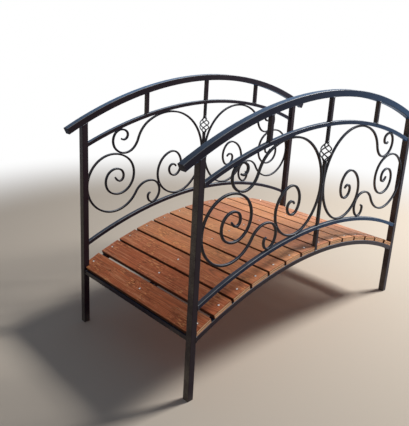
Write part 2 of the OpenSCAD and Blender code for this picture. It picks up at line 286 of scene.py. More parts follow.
def stainedPine():
    # planed pine boards under a red-brown penetrating stain: matt, with straight grain that
    # shows as fine streaks along the board, and paler, thirsty end grain
    made, tree, place = shaderTree("stainedPineBoards")
    x, y, z = add(tree, "ShaderNodeSeparateXYZ", [place]).outputs
    above = add(tree, "ShaderNodeMath", [z, -deckCentre], operation="ADD")
    # which board this is, and where the point lies across it and above its underside
    seenAngle = add(tree, "ShaderNodeMath", [x, above], operation="ARCTAN2")
    fromMiddle = add(tree, "ShaderNodeMath", [seenAngle], operation="ABSOLUTE")
    end = add(tree, "ShaderNodeMath", [fromMiddle, endBoardAt - boardPitch / 2],
              operation="GREATER_THAN")
    way = add(tree, "ShaderNodeMath", [seenAngle], operation="SIGN")
    atEnd = add(tree, "ShaderNodeMath", [end, way], operation="MULTIPLY")
    extra = (bridge["boards"] - 1) / 2 * boardPitch - endBoardAt
    angle = add(tree, "ShaderNodeMath", [atEnd, extra, seenAngle], operation="MULTIPLY_ADD")
    count = add(tree, "ShaderNodeMath", [angle, 1 / boardPitch, (bridge["boards"] + 2) / 2],
                operation="MULTIPLY_ADD")
    board = add(tree, "ShaderNodeMath", [count], operation="FLOOR")
    part = add(tree, "ShaderNodeMath", [count, board], operation="SUBTRACT")
    width = boardPitch * (deckRadius + bridge["boardHeight"] / 2)
    across = add(tree, "ShaderNodeMath", [part, width, -width / 2], operation="MULTIPLY_ADD")
    flat = add(tree, "ShaderNodeCombineXYZ", {0: x, 2: above})
    away = add(tree, "ShaderNodeVectorMath", [flat], operation="LENGTH")
    depth = add(tree, "ShaderNodeMath", [away, deckRadius], operation="SUBTRACT")
    along = add(tree, "ShaderNodeMath", [board, wood["apart"], y], operation="MULTIPLY_ADD")
    inBoard = add(tree, "ShaderNodeCombineXYZ", [across, along, depth])
    drawn = []
    for luck in (wood["luck"], wood["toneLuck"]):
        seed = add(tree, "ShaderNodeMath", [board, luck], operation="ADD")
        dice = add(tree, "ShaderNodeTexWhiteNoise", {"W": seed}, noise_dimensions="1D")
        drawn.append(add(tree, "ShaderNodeSeparateColor", [dice.outputs["Color"]]).outputs)
    placeLuck, toneLuck = drawn

    pattern = {}
    for label, (acrossRate, alongRate, detail, rough, distortion) in wood["patterns"].items():
        stretched = add(tree, "ShaderNodeVectorMath", [inBoard, (acrossRate, alongRate, acrossRate)],
                        operation="MULTIPLY")
        pattern[label] = add(tree, "ShaderNodeTexNoise", {"Vector": stretched, "Scale": 1.0,
                             "Detail": detail, "Roughness": rough, "Distortion": distortion})

    # knots: now and then a cell of a stretched pattern holds one, and the rings bend round it
    knotPlace = add(tree, "ShaderNodeVectorMath", [inBoard, wood["knotCells"]], operation="MULTIPLY")
    cells = add(tree, "ShaderNodeTexVoronoi", {"Vector": knotPlace, "Scale": 1.0}, voronoi_dimensions="2D")
    kind = add(tree, "ShaderNodeSeparateColor", [cells.outputs["Color"]])
    holds = add(tree, "ShaderNodeMath", [kind.outputs[0], wood["knotShare"]], operation="LESS_THAN")
    nearness = []
    for low, high in (wood["knotPull"][:2], wood["knotCore"]):
        near = add(tree, "ShaderNodeMapRange", {"Value": cells, "From Min": low, "From Max": high,
                   "To Min": 1.0, "To Max": 0.0}, interpolation_type="SMOOTHSTEP")
        nearness.append(add(tree, "ShaderNodeMath", [near, holds], operation="MULTIPLY"))
    bend, knot = nearness

    # rings about a pith that wanders a little along the board
    pithAcross, pithDepth = [
        add(tree, "ShaderNodeMath", [luck, reach, start], operation="MULTIPLY_ADD")
        for luck, (reach, start) in ((placeLuck[0], wood["pithAcross"]), (placeLuck[1], wood["pithDepth"]))]
    pith = add(tree, "ShaderNodeCombineXYZ", {0: pithAcross, 2: pithDepth})
    plain = add(tree, "ShaderNodeCombineXYZ", {0: across, 2: depth})
    shifted = add(tree, "ShaderNodeVectorMath", [pattern["wander"].outputs["Color"],
                  (wood["wander"], 0.0, wood["wander"]), plain], operation="MULTIPLY_ADD")
    fromPith = add(tree, "ShaderNodeVectorMath", [shifted, pith], operation="DISTANCE")
    bent = add(tree, "ShaderNodeMath", [bend, wood["knotPull"][2], fromPith], operation="MULTIPLY_ADD")
    rings = add(tree, "ShaderNodeMath", [bent, 1 / wood["ringWidth"]], operation="MULTIPLY")
    ragged = add(tree, "ShaderNodeMath", [pattern["fibre"], wood["ragged"], rings],
                 operation="MULTIPLY_ADD")
    ring = add(tree, "ShaderNodeMath", [ragged], operation="FRACT")

    # distances from cracks, from the rim of a cut end and from the nearest screw
    crackLine = add(tree, "ShaderNodeMath", [pattern["crack"], wood["crackAt"]], operation="SUBTRACT")
    crackGap = add(tree, "ShaderNodeMath", [crackLine], operation="ABSOLUTE")
    sideGap = add(tree, "ShaderNodeMath", [across], operation="ABSOLUTE")
    sideIn = add(tree, "ShaderNodeMath", [boardHalf, sideGap], operation="SUBTRACT")
    topIn = add(tree, "ShaderNodeMath", [bridge["boardHeight"], depth], operation="SUBTRACT")
    lowIn = add(tree, "ShaderNodeMath", [topIn, depth], operation="MINIMUM")
    rimIn = add(tree, "ShaderNodeMath", [lowIn, sideIn], operation="MINIMUM")
    rimWave = add(tree, "ShaderNodeMath", [pattern["patch"], wood["rimWander"], rimIn],
                  operation="MULTIPLY_ADD")
    splitLength, splitHeight = wood["splitWave"]
    splitPlace = add(tree, "ShaderNodeCombineXYZ", [across, board])
    splitWave = add(tree, "ShaderNodeTexNoise", {"Vector": splitPlace, "Scale": 1 / splitLength,
                    "Detail": 3.0, "Roughness": 0.6})
    splitOff = add(tree, "ShaderNodeMath", [splitWave, splitHeight,
                   -(splitHeight + bridge["boardHeight"]) / 2], operation="MULTIPLY_ADD")
    splitLine = add(tree, "ShaderNodeMath", [depth, splitOff], operation="ADD")
    splitGap = add(tree, "ShaderNodeMath", [splitLine], operation="ABSOLUTE")
    screwGap = add(tree, "ShaderNodeMath", [y, wood["screwLine"] / 2], operation="PINGPONG")
    screwAway = add(tree, "ShaderNodeCombineXYZ", [across, screwGap])
    screwFar = add(tree, "ShaderNodeVectorMath", [screwAway], operation="LENGTH")

    # each mask: what it follows, from where to where, and its values there
    mask = {}
    for label, source, low, high, first, last in (
            ("swell", ring, 0.30, 0.88, 0.0, 1.0),
            ("stop", ring, 0.92, 1.0, 1.0, 0.1),
            ("dry", pattern["streak"], 0.53, 0.64, 0.0, 0.62),
            ("soaked", pattern["streak"], 0.45, 0.32, 0.0, 0.75),
            ("torn", pattern["cluster"], 0.46, 0.62, 0.0, 1.0),
            ("pale", pattern["dash"], 0.58, 0.66, 0.0, 0.85),
            ("dark", pattern["dash"], 0.42, 0.35, 0.0, 0.70),
            ("crack", crackGap, 0.003, 0.012, 1.0, 0.0),
            ("cracked", pattern["crackPatch"], 0.60, 0.66, 0.0, 0.8),
            ("patchTone", pattern["patch"], 0.3, 0.7, 0.90, 1.10),
            ("fibreTone", pattern["fibre"], 0.3, 0.7, 0.88, 1.10),
            # painted sunlight, from near mid span to the back
            ("paintedSun", seenAngle, -0.33, -0.10, 0.0, wood["paintedSunStrength"]),
            ("rim", rimWave, 0.002, 0.006, 1.0, 0.0),
            ("split", splitGap, 0.0008, 0.0024, 0.9, 0.0),
            ("parted", placeLuck[2], 0.15, 0.60, 0.0, 1.0),
            ("below", topIn, 0.001, 0.005, 0.25, 0.85),
            ("halo", screwFar, 0.005, 0.012, 0.55, 0.0)):
        eased = label in ("swell", "rim", "halo")
        mask[label] = add(tree, "ShaderNodeMapRange", {"Value": source, "From Min": low, "From Max": high,
                          "To Min": first, "To Max": last},
                          interpolation_type="SMOOTHSTEP" if eased else "LINEAR")
    # each ring darkens slowly towards its edge and then stops short; torn marks come in clusters,
    # cracks in patches, and only some cuts have split
    for label, first, second in (("late", "swell", "stop"), ("pale", "pale", "torn"),
                                 ("dark", "dark", "torn"), ("crack", "crack", "cracked"),
                                 ("split", "split", "parted"), ("tone", "patchTone", "fibreTone")):
        mask[label] = add(tree, "ShaderNodeMath", [mask[first], mask[second]], operation="MULTIPLY")
    late = mask["late"]

    # the face: rings, streaks, torn marks, cracks, knots, painted sunlight, and a tone of its own for each
    # board
    ringMark = add(tree, "ShaderNodeMath", [late, wood["ringMark"]], operation="MULTIPLY")
    face = linear(wood["early"])
    for factor, colour in ((ringMark, "late"), (mask["dry"], "fleck"), (mask["soaked"], "late"),
                           (mask["pale"], "dash"), (mask["dark"], "knot"), (mask["crack"], "check"),
                           (knot, "knot"), (mask["paintedSun"], "paintedSunlight")):
        face = add(tree, "ShaderNodeMix", {"Factor": factor, 6: face, 7: linear(wood[colour])},
                   data_type="RGBA")
    hue, boardTone = [
        add(tree, "ShaderNodeMath", [toneLuck[0], reach, start], operation="MULTIPLY_ADD")
        for reach, start in (wood["hue"], (wood["tone"] * 2, 1 - wood["tone"]))]
    tone = add(tree, "ShaderNodeMath", [mask["tone"], boardTone], operation="MULTIPLY")
    skin = add(tree, "ShaderNodeHueSaturation", {"Hue": hue, "Value": tone, "Color": face})

    # cut ends: pale, with the rings as arcs, a rim where the stain ran round the edge and a split
    cut = linear(wood["endLight"])
    for factor, colour in ((late, "endDark"), (mask["rim"], "endRim"), (mask["split"], "check")):
        cut = add(tree, "ShaderNodeMix", {"Factor": factor, 6: cut, 7: linear(wood[colour])},
                  data_type="RGBA")
    endTone = add(tree, "ShaderNodeHueSaturation", {"Value": mask["patchTone"], "Color": cut})
    normal = add(tree, "ShaderNodeNewGeometry").outputs["Normal"]
    normalPart = add(tree, "ShaderNodeSeparateXYZ", [normal])
    sideways = add(tree, "ShaderNodeMath", [normalPart.outputs["Y"]], operation="ABSOLUTE")
    isEnd = add(tree, "ShaderNodeMath", [sideways, wood["endFaces"]], operation="GREATER_THAN")

    # painted shade and some grime darken the faces inside the gaps, and each screw has bruised the wood
    outward = add(tree, "ShaderNodeVectorMath", [flat], operation="NORMALIZE")
    facingOut = add(tree, "ShaderNodeVectorMath", [outward, normal], operation="DOT_PRODUCT")
    outwardness = add(tree, "ShaderNodeMath", [facingOut], operation="ABSOLUTE")
    isSide = add(tree, "ShaderNodeMath", [outwardness, wood["gapFaces"]], operation="LESS_THAN")
    gapShadeAndGrime = add(tree, "ShaderNodeMath", [isSide, mask["below"]], operation="MULTIPLY")
    for factor, colour in ((gapShadeAndGrime, "gap"), (mask["halo"], "bruise")):
        skin = add(tree, "ShaderNodeMix", {"Factor": factor, 6: skin, 7: linear(wood[colour])},
                   data_type="RGBA")
    skin = add(tree, "ShaderNodeMix", {"Factor": isEnd, 6: skin, 7: endTone}, data_type="RGBA")

    rough = add(tree, "ShaderNodeMath", [late, wood["lateRoughness"], wood["roughness"]],
                operation="MULTIPLY_ADD")
    roughEnd = add(tree, "ShaderNodeMath", [isEnd, wood["endRoughness"], rough],
                   operation="MULTIPLY_ADD", use_clamp=True)
    relief = add(tree, "ShaderNodeBump", {"Strength": 0.6, "Distance": 0.0004, "Height": late})
    hairs = add(tree, "ShaderNodeBump", {"Strength": 0.5, "Distance": 0.0005, "Height": pattern["fibre"],
                "Normal": relief})
    shader = add(tree, "ShaderNodeBsdfPrincipled",
                 {"Base Color": skin, "Roughness": roughEnd, "Normal": hairs, "IOR": 1.47,
                  "Specular IOR Level": 0.24, "Specular Tint": linear("#FFE2C0")})
    add(tree, "ShaderNodeOutputMaterial", {"Surface": shader})
    return made


plating = {
    "zinc": "#F2F4F5",
    "crystals": ("#D0D2D0", 0.0016),    # colour and width
    "grime": ("#7E7468", 0.004),
    "grimeFrom": (0.50, 0.72, 0.40),    # values where it starts and is full, and what it then hides
    "roughness": (0.22, 0.46),
}


def zincPlate():
    # bright zinc on screw heads: a pale metal, slightly blue, with dull crystals
    made, tree, place = shaderTree("zincPlatedScrew")
    (dull, dullWidth), (grimy, grimeWidth) = plating["crystals"], plating["grime"]
    cells = add(tree, "ShaderNodeTexVoronoi", {"Vector": place, "Scale": 1 / dullWidth})
    grime = add(tree, "ShaderNodeTexNoise", {"Vector": place, "Scale": 1 / grimeWidth, "Detail": 3.0})
    start, full, most = plating["grimeFrom"]
    dirty = add(tree, "ShaderNodeMapRange", {"Value": grime, "From Min": start, "From Max": full,
                "To Max": most})
    plate = linear(plating["zinc"])
    for factor, colour in ((cells, dull), (dirty, grimy)):
        plate = add(tree, "ShaderNodeMix", {"Factor": factor, 6: plate, 7: linear(colour)},
                    data_type="RGBA")
    low, high = plating["roughness"]
    rough = add(tree, "ShaderNodeMapRange", {"Value": grime, "To Min": low, "To Max": high})
    shader = add(tree, "ShaderNodeBsdfPrincipled",
                 {"Base Color": plate, "Metallic": 1.0, "Roughness": rough})
    add(tree, "ShaderNodeOutputMaterial", {"Surface": shader})
    return made


steelPaint, railPaint, scrollPaint, weldPaint = [
    enamelledSteel(name, *coat) for name, coat in paint["coats"].items()]
deckWood = stainedPine()
zinc = zincPlate()
finishes = {"frame_steel": steelPaint, "scroll_steel": scrollPaint, "deck_wood": deckWood}
for name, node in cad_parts.items():
    slotName = node.data.materials[0].name.split(".")[0]
    isRail = name.endswith(("handrail", "mid_rail", "lower_rail"))
    node.material_slots[0].material = railPaint if isRail else finishes[slotName]
print("materials on the model's own parts")


# geometry nodes that sweep and scatter
def newTree(name, sockets):
    tree = bpy.data.node_groups.new(name, "GeometryNodeTree")
    for label, kind in (("Geometry", "Geometry"), *sockets, ("Finish", "Material")):
        tree.interface.new_socket(label, in_out="INPUT", socket_type="NodeSocket" + kind)
    tree.interface.new_socket("Geometry", in_out="OUTPUT", socket_type="NodeSocketGeometry")
    return tree, add(tree, "NodeGroupInput")


def finishTree(tree, source, made, smooth=True):
    made = add(tree, "GeometryNodeRealizeInstances", [made])
    if smooth:
        made = add(tree, "GeometryNodeSetShadeSmooth", {0: made, "Shade Smooth": True})
    made = add(tree, "GeometryNodeSetMaterial", {0: made, "Material": source.outputs["Finish"]})
    add(tree, "NodeGroupOutput", [made])
    return tree


def squareSection(tree, sizes):
    square = add(tree, "GeometryNodeCurvePrimitiveQuadrilateral",
                 {"Width": sizes["Side"], "Height": sizes["Side"]})
    return add(tree, "GeometryNodeFilletCurve", {0: square, "Radius": sizes["Corner"], "Count": 2},
               mode="POLY")


def roundSection(tree, sizes):
    half = add(tree, "ShaderNodeMath", [sizes["Thickness"], 0.5], operation="MULTIPLY")
    return add(tree, "GeometryNodeCurvePrimitiveCircle", {"Resolution": sizes["Sides"], "Radius": half})


def sweepTree(name, sockets, section):
    # a bar swept along every chain of points; "swell" on a point thickens or thins it
    tree, source = newTree(name, sockets)
    line = add(tree, "GeometryNodeMeshToCurve", [source])
    swell = add(tree, "GeometryNodeInputNamedAttribute", ["swell"], data_type="FLOAT")
    bar = add(tree, "GeometryNodeCurveToMesh", {0: line, 1: section(tree, source.outputs),
              "Scale": swell, "Fill Caps": True})
    return finishTree(tree, source, bar)


def scatterTree():
    # one shape set at every point, turned and sized as the point says
    tree, source = newTree("shapeAtPoints", [("Shape", "Object")])
    shape = add(tree, "GeometryNodeObjectInfo", {"Object": source.outputs["Shape"]})
    turn = add(tree, "GeometryNodeInputNamedAttribute", ["turn"], data_type="FLOAT_VECTOR")
    scale = add(tree, "GeometryNodeInputNamedAttribute", ["scale"], data_type="FLOAT")
    copies = add(tree, "GeometryNodeInstanceOnPoints", {0: source, "Instance": shape.outputs["Geometry"],
                 "Rotation": turn, "Scale": scale})
    return finishTree(tree, source, copies, smooth=False)


barAlongPath = sweepTree("barAlongPath", [("Side", "Float"), ("Corner", "Float")], squareSection)
wireAlongPath = sweepTree("wireAlongPath", [("Thickness", "Float"), ("Sides", "Int")], roundSection)
shapeAtPoints = scatterTree()


def grown(name, chains, tree, inputs, attributes=None):
    # a piece from chains of points, given as (points, closed), through one of the trees
    mesh = bpy.data.meshes.new(name)
    points, edges = [], []
    for chain, closed in chains:
        first = len(points)
        points += [tuple(p) for p in chain]
        edges += [(first + i, first + i + 1) for i in range(len(chain) - 1)]
        if closed:
            edges.append((len(points) - 1, first))
    mesh.from_pydata(points, edges, [])
    for label, (kind, values) in (attributes or {}).items():
        layer = mesh.attributes.new(label, kind, "POINT")
        for item, value in zip(layer.data, values):
            setattr(item, "value" if kind == "FLOAT" else "vector", value)
    piece = bpy.data.objects.new(name, mesh)
    bpy.context.scene.collection.objects.link(piece)
    modifier = piece.modifiers.new("grow", "NODES")
    modifier.node_group = tree
    for item in tree.interface.items_tree:
        if item.in_out == "INPUT" and item.name in inputs:
            modifier[item.identifier] = inputs[item.name]
    bpy.context.view_layer.update()
    depsgraph = bpy.context.evaluated_depsgraph_get()
    final = bpy.data.meshes.new_from_object(piece.evaluated_get(depsgraph))
    piece.modifiers.clear()
    piece.data = final
    final.name = name
    return piece


# scrolls, in millimetres and degrees
scrolls = {
    "bar": bridge["scrollBar"] * 1000,
    "corner": 0.0011,          # in metres; rolled bar has slightly rounded edges
    # where each starts and heads, then its arcs: radius and turn
    "big": ((-753, 912, -60), [(79, 21.5), (27, 109), (45, 81), (74, 93), (83, 89), (116, 94.5), (128, 76),
            (192, 37.5), (182, 127.5), (199, 110.5), (123, -76), (78, -137.5), (32, -51), (45, -74.5),
            (20, -83)]),
    "long": ((-709, 1151, -44), [(29, 105), (29, 80), (60, 104), (76, 69), (98, 95), (132, 23),
             (194, -43.5), (337, -37), (307, -76.7), (274, -59.3), (184, -87.5), (140, -111.5),
             (75, -60.5), (100, -79.5), (48, -147.5), (31, -155)]),
    # the panel on which they were drawn: from and to in x, height and radius of the rails' lines
    "drawn": ((-956, -14), (738, 2442), (1314, 2480)),
    "step": (3.0, 6.0),        # longest straight step in degrees of turn and in millimetres
    "taper": 26.0,             # length over which a tip is drawn out
    "tip": 0.74,               # how thick it is at its end
    "blunt": 0.6,              # power of the taper: a smaller one makes a blunter tip
}


def fittedScroll(kind):
    # the centre line of a scroll of the right front quarter, as x and z in millimetres
    (x, z, heading), arcs = scrolls[kind]
    drawn = []
    for radius, turn in arcs:
        steps = math.ceil(max(abs(turn) / scrolls["step"][0],
                              math.pi * radius * abs(turn) / 180 / scrolls["step"][1]))
        side = math.copysign(radius, turn)
        centre = (x - side * math.sin(math.radians(heading)), z + side * math.cos(math.radians(heading)))
        for k in range(1, steps + 1):
            if not drawn:
                drawn.append((x, z))
            a = math.radians(heading + turn * k / steps)
            drawn.append((centre[0] + side * math.sin(a), centre[1] - side * math.cos(a)))
        (x, z), heading = drawn[-1], heading + turn
    (left, right), low, high = scrolls["drawn"]
    start = -postIn * 1000 + barHalf
    stop = -bridge["centreBar"] * 500 - barHalf
    fitted = []
    for x, z in drawn:
        there = start + (x - left) * (stop - start) / (right - left)
        drawnLow = low[0] - low[1] + math.sqrt(low[1] ** 2 - x * x)
        drawnHigh = high[0] - high[1] + math.sqrt(high[1] ** 2 - x * x)
        realLow = arcHeight("lowerRail", there / 1000, bridge["railWidth"] + barHalf / 1000) * 1000
        realHigh = arcHeight("midRail", there / 1000, -barHalf / 1000) * 1000
        fitted.append((there, realLow + (z - drawnLow) * (realHigh - realLow) / (drawnHigh - drawnLow)))
    return fitted


def tapered(points):
    # thickness along a chain, drawn out and rounded at both tips
    far = [0.0]
    for a, b in zip(points, points[1:]):
        far.append(far[-1] + math.dist(a, b))
    shares = [min(min(run, far[-1] - run) / scrolls["taper"], 1.0) for run in far]
    return [scrolls["tip"] + (1 - scrolls["tip"]) * share ** scrolls["blunt"] for share in shares]


barHalf = scrolls["bar"] / 2
scrollLines = {kind: fittedScroll(kind) for kind in ("big", "long")}
sides = {"right": -1, "left": 1}
ends = {"front": 1, "back": -1}
for side, across in sides.items():
    for end, way in ends.items():
        for kind, line in scrollLines.items():
            chain = [(way * x / 1000, across * railY, z / 1000) for x, z in line]
            piece = grown(f"{side}_{end}_{kind}_scroll_bar", [(chain, False)], barAlongPath,
                          {"Side": bridge["scrollBar"], "Corner": scrolls["corner"], "Finish": scrollPaint},
                          {"swell": ("FLOAT", tapered(line))})
            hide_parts(f"{side}_{end}_{kind}_scroll")
            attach(piece, "root")
print("scrolls swept")

basket = {
    "middle": 1.171,
    "length": 0.104,
    "width": 0.074,
    "wire": 0.008,
    "start": 45,               # the wires start at the corners of the bar below
    "turn": 270,               # clockwise seen from above
    "collar": (0.024, 0.010),  # thickness and height
    # the collar's rolled edges: place in its height and share of its thickness
    "rolled": ((-0.5, 0.86), (-0.46, 0.93), (-0.36, 0.99), (-0.24, 1.0),
               (0.24, 1.0), (0.36, 0.99), (0.46, 0.93), (0.5, 0.86)),
    "steps": 56,
    "sides": 12,
}


def basketChains(side):
    chains, swell = [], []
    y, wire = side * railY, basket["wire"]
    thick, high = basket["collar"]
    inner, outer = thick / 2 - wire, (basket["width"] - wire) / 2
    for start in range(basket["start"], 360, 90):
        points = []
        for i in range(basket["steps"] + 1):
            t = i / basket["steps"]
            a = math.radians(start - basket["turn"] * t)
            r = inner + (outer - inner) * math.sin(math.pi * t)
            points.append((r * math.cos(a), y + r * math.sin(a),
                           basket["middle"] + (t - 0.5) * (basket["length"] + high)))
        chains.append((points, False))
        swell += [1.0] * len(points)
    # the collars, as short thick wires with rolled edges
    for way in (-1, 1):
        middle = basket["middle"] + way * (basket["length"] + high) / 2
        chains.append(([(0, y, middle + high * part) for part, _ in basket["rolled"]], False))
        swell += [thick / wire * size for _, size in basket["rolled"]]
    return chains, swell


for side, across in sides.items():
    chains, swell = basketChains(across)
    piece = grown(f"{side}_twisted_basket", chains, wireAlongPath,
                  {"Thickness": basket["wire"], "Sides": basket["sides"], "Finish": scrollPaint},
                  {"swell": ("FLOAT", swell)})
    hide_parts(f"{side}_basket")
    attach(piece, "root")
print("baskets twisted")

welds = {
    "tube": 0.0052,            # bead width on the tubes
    "bar": 0.0042,
    "seam": 0.0020,            # the ground seam of a handrail's end plate
    "seamIn": 0.0022,          # how far it lies from the end
    "ripple": 0.0036,
    "rippleHeight": 0.13,      # share of the width
    "rippleStep": 0.42,        # length of a step along the bead, in ripples
    "lumps": 190.0,            # per metre
    "lumpSizes": (0.7, 1.3),
    "luck": 4.0,
    "sides": 8,
}


def weldTree():
    # a weld bead along a joint: a half-sunk cord with the ripples of the pool
    tree, source = newTree("weldAlongJoint", [("Width", "Float")])
    line = add(tree, "GeometryNodeMeshToCurve", [source])
    even = add(tree, "GeometryNodeResampleCurve",
               {0: line, "Length": welds["ripple"] * welds["rippleStep"]}, mode="LENGTH")
    run = add(tree, "GeometryNodeSplineParameter").outputs["Length"]
    turn = add(tree, "ShaderNodeMath", [run, 2 * math.pi / welds["ripple"]], operation="MULTIPLY")
    wave = add(tree, "ShaderNodeMath", [turn], operation="SINE")
    shake = add(tree, "ShaderNodeTexNoise", {"W": welds["luck"], "Scale": welds["lumps"], "Detail": 2.0},
                noise_dimensions="4D")
    thin, thick = welds["lumpSizes"]
    lump = add(tree, "ShaderNodeMapRange", {"Value": shake, "From Min": 0.3, "From Max": 0.7,
               "To Min": thin, "To Max": thick})
    size = add(tree, "ShaderNodeMath", [wave, welds["rippleHeight"], lump], operation="MULTIPLY_ADD")
    ring = roundSection(tree, {"Thickness": source.outputs["Width"], "Sides": welds["sides"]})
    bead = add(tree, "GeometryNodeCurveToMesh", {0: even, 1: ring, "Scale": size})
    return finishTree(tree, source, bead)


def roundedRing(wide, high, corner):
    # points round a rounded rectangle about its middle
    points = []
    for cx, cy, start in ((1, 1, 0), (-1, 1, 90), (-1, -1, 180), (1, -1, 270)):
        for k in range(3):
            a = math.radians(start + 45 * k)
            points.append((cx * (wide / 2 - corner) + corner * math.cos(a),
                           cy * (high / 2 - corner) + corner * math.sin(a)))
    return points


def uprightRing(x, y, size, arch, above=0.0, corner=bridge["railCorner"]):
    # round an upright tube, at a height above an arch's underside or, without one, above the ground
    ring = roundedRing(size, size, corner)
    return [(x + p, y + q, arcHeight(arch, x + p, above) if arch else above) for p, q in ring], True


def buttRing(x, low, high, y, width, corner=bridge["railCorner"]):
    # round the end of a tube that runs along x and butts on an upright face
    middle = (low + high) / 2
    return [(x, y + p, middle + q) for p, q in roundedRing(width, high - low, corner)], True


def alongY(ring, centre):
    # the same ring for a beam that runs along y
    points, closed = ring
    return [(centre[0] + (p[1] - centre[1]), p[0], p[2]) for p in points], closed


weldAlongJoint = weldTree()
tubeJoints, barJoints, seams = [], [], []
for across in sides.values():
    for way in ends.values():
        post = (way * -(bridge["halfLength"] - bridge["postWidth"] / 2), across * postY)
        tubeJoints.append(uprightRing(*post, bridge["postWidth"], "handrail", corner=bridge["postCorner"]))
        for name, width in (("midRail", "railWidth"), ("lowerRail", "railWidth"),
                            ("stringer", "stringerWidth")):
            x = -way * postIn
            height, width = bridge[name][2], bridge[width]
            tubeJoints.append(buttRing(x, arcHeight(name, x), arcHeight(name, x, height),
                                       across * (bridge["halfWidth"] - width / 2), width))
        beamX, beamLow, beamSide = bridge["beam"]
        ring = buttRing(across * (bridge["halfWidth"] - bridge["postWidth"]), beamLow, beamLow + beamSide,
                        0, beamSide)
        tubeJoints.append(alongY(ring, (-way * beamX, 0)))
        # end plate of the handrail: a seam just short of the end, square to the arch
        radius = arcRadius("handrail")
        half = math.asin((bridge["halfLength"] + bridge["handrailOverhang"]) / radius)
        half -= welds["seamIn"] / radius
        ring, _ = buttRing(0, radius, radius + bridge["handrail"][2], across * postY,
                           bridge["handrailWidth"], bridge["postCorner"])
        centre = bridge["handrail"][0] - radius
        seams.append(([(-way * math.sin(half) * p[2], p[1], centre + math.cos(half) * p[2]) for p in ring],
                      True))
    for x in (-bridge["studAt"], 0, bridge["studAt"]):
        for arch, above in (("handrail", 0.0), ("midRail", bridge["railWidth"])):
            tubeJoints.append(uprightRing(x, across * railY, bridge["railWidth"], arch, above))
    stubY = across * (bridge["halfWidth"] - bridge["stubWidth"] / 2)
    for arch, above in (("lowerRail", 0.0), ("stringer", bridge["stringer"][2])):
        tubeJoints.append(uprightRing(0, stubY, bridge["stubWidth"], arch, above))
    collarEnd = basket["length"] / 2 + basket["collar"][1]
    for arch, above in (("midRail", 0.0), ("lowerRail", bridge["railWidth"]),
                        (None, basket["middle"] + collarEnd), (None, basket["middle"] - collarEnd)):
        barJoints.append(uprightRing(0, across * railY, bridge["centreBar"], arch, above,
                                     bridge["barCorner"]))
for way in ends.values():
    x = -way * (bridge["beam"][0] - bridge["beam"][2] / 2)
    tubeJoints.append(buttRing(x, arcHeight("stringer", x), arcHeight("stringer", x, bridge["stringer"][2]),
                               0, bridge["stringerWidth"]))
for name, chains, size in (("tube_welds", tubeJoints, "tube"), ("bar_welds", barJoints, "bar"),
                           ("end_plate_seams", seams, "seam")):
    piece = grown(name, chains, weldAlongJoint, {"Width": welds[size], "Finish": weldPaint})
    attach(piece, "root")
print("weld beads run:", len(tubeJoints) + len(barJoints) + len(seams))

# tacks between scroll bars, found in millimetres
tacking = {
    "touch": 0.9,              # bars nearer than this are tacked
    "window": 12,              # points on each side among which a gap has to be the least
    "apart": 25,               # points between two parts of one bar
    "spacing": 20,             # between two tacks where a bar comes back to itself
    "size": 0.0048,            # in metres, as is how deep it sinks
    "sink": 0.0006,
    "sizes": (0.75, 1.05),
    "turn": 6.28,
    "uneven": 0.10,
    "flat": 0.8,
    "seed": 5,
    "shapeSeed": 11,
}


def touches(line, gap):
    # the points of a line where the gap to something else is least and all but closed
    gaps, window = [gap(p) for p in line], tacking["window"]
    return [i for i, here in enumerate(gaps)
            if here < tacking["touch"] and here == min(gaps[max(0, i - window):i + window + 1])]


def between(p, q):
    return (p[0] + q[0]) / 2, (p[1] + q[1]) / 2


tacks = []
neighbours = {
    (-1, 0): lambda p: p[0] + postIn * 1000 - barHalf,
    (0, -1): lambda p: p[1] - barHalf - 1000 * arcHeight("lowerRail", p[0] / 1000, bridge["railWidth"]),
    (0, 1): lambda p: 1000 * arcHeight("midRail", p[0] / 1000) - p[1] - barHalf,
    (1, 0): lambda p: -bridge["centreBar"] * 500 - barHalf - p[0],
}
for line in scrollLines.values():
    for (dx, dz), gap in neighbours.items():
        for i in touches(line, gap):
            tacks.append((line[i][0] + dx * barHalf, line[i][1] + dz * barHalf))
bigLine, longLine = scrollLines["big"], scrollLines["long"]
for i in touches(longLine, lambda p: min(math.dist(p, q) for q in bigLine) - 2 * barHalf):
    p = longLine[i]
    tacks.append(between(p, min(bigLine, key=lambda q: math.dist(p, q))))
for line in scrollLines.values():
    # a bar that comes back to itself is tacked there too
    for i, p in enumerate(line):
        away, j = min((math.dist(p, q), j) for j, q in enumerate(line) if abs(j - i) > tacking["apart"])
        if away - 2 * barHalf < tacking["touch"] and i < j and not any(
                math.dist(p, t) < tacking["spacing"] for t in tacks):
            tacks.append(between(p, line[j]))


def newShape(name, shape):
    mesh = bpy.data.meshes.new(name)
    shape.to_mesh(mesh)
    shape.free()
    return bpy.data.objects.new(name, mesh)


def lump():
    # a weld tack: a low, uneven drop
    shape = bmesh.new()
    bmesh.ops.create_icosphere(shape, subdivisions=2, radius=1.0)
    chance = random.Random(tacking["shapeSeed"])
    for v in shape.verts:
        v.co *= 1 + chance.uniform(-tacking["uneven"], tacking["uneven"])
        v.co.y *= tacking["flat"]
    for f in shape.faces:
        f.smooth = True
    return newShape("tackShape", shape)


def scattered(name, points, turns, sizes, shape, finish):
    bpy.context.scene.collection.objects.link(shape)
    piece = grown(name, [([p], False) for p in points], shapeAtPoints, {"Shape": shape, "Finish": finish},
                  {"turn": ("FLOAT_VECTOR", turns), "scale": ("FLOAT", sizes)})
    bpy.data.objects.remove(shape)
    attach(piece, "root")


chance = random.Random(tacking["seed"])
points, turns, sizes = [], [], []
for x, z in tacks:
    for way in (1, -1):
        for across in sides.values():
            for face in (-1, 1):
                points.append((way * x / 1000, across * railY + face * (barHalf / 1000 - tacking["sink"]),
                               z / 1000))
                turns.append((0, chance.uniform(0, tacking["turn"]), 0))
                sizes.append(tacking["size"] * chance.uniform(*tacking["sizes"]))
scattered("scroll_tacks", points, turns, sizes, lump(), weldPaint)
print("scrolls tacked:", len(points))

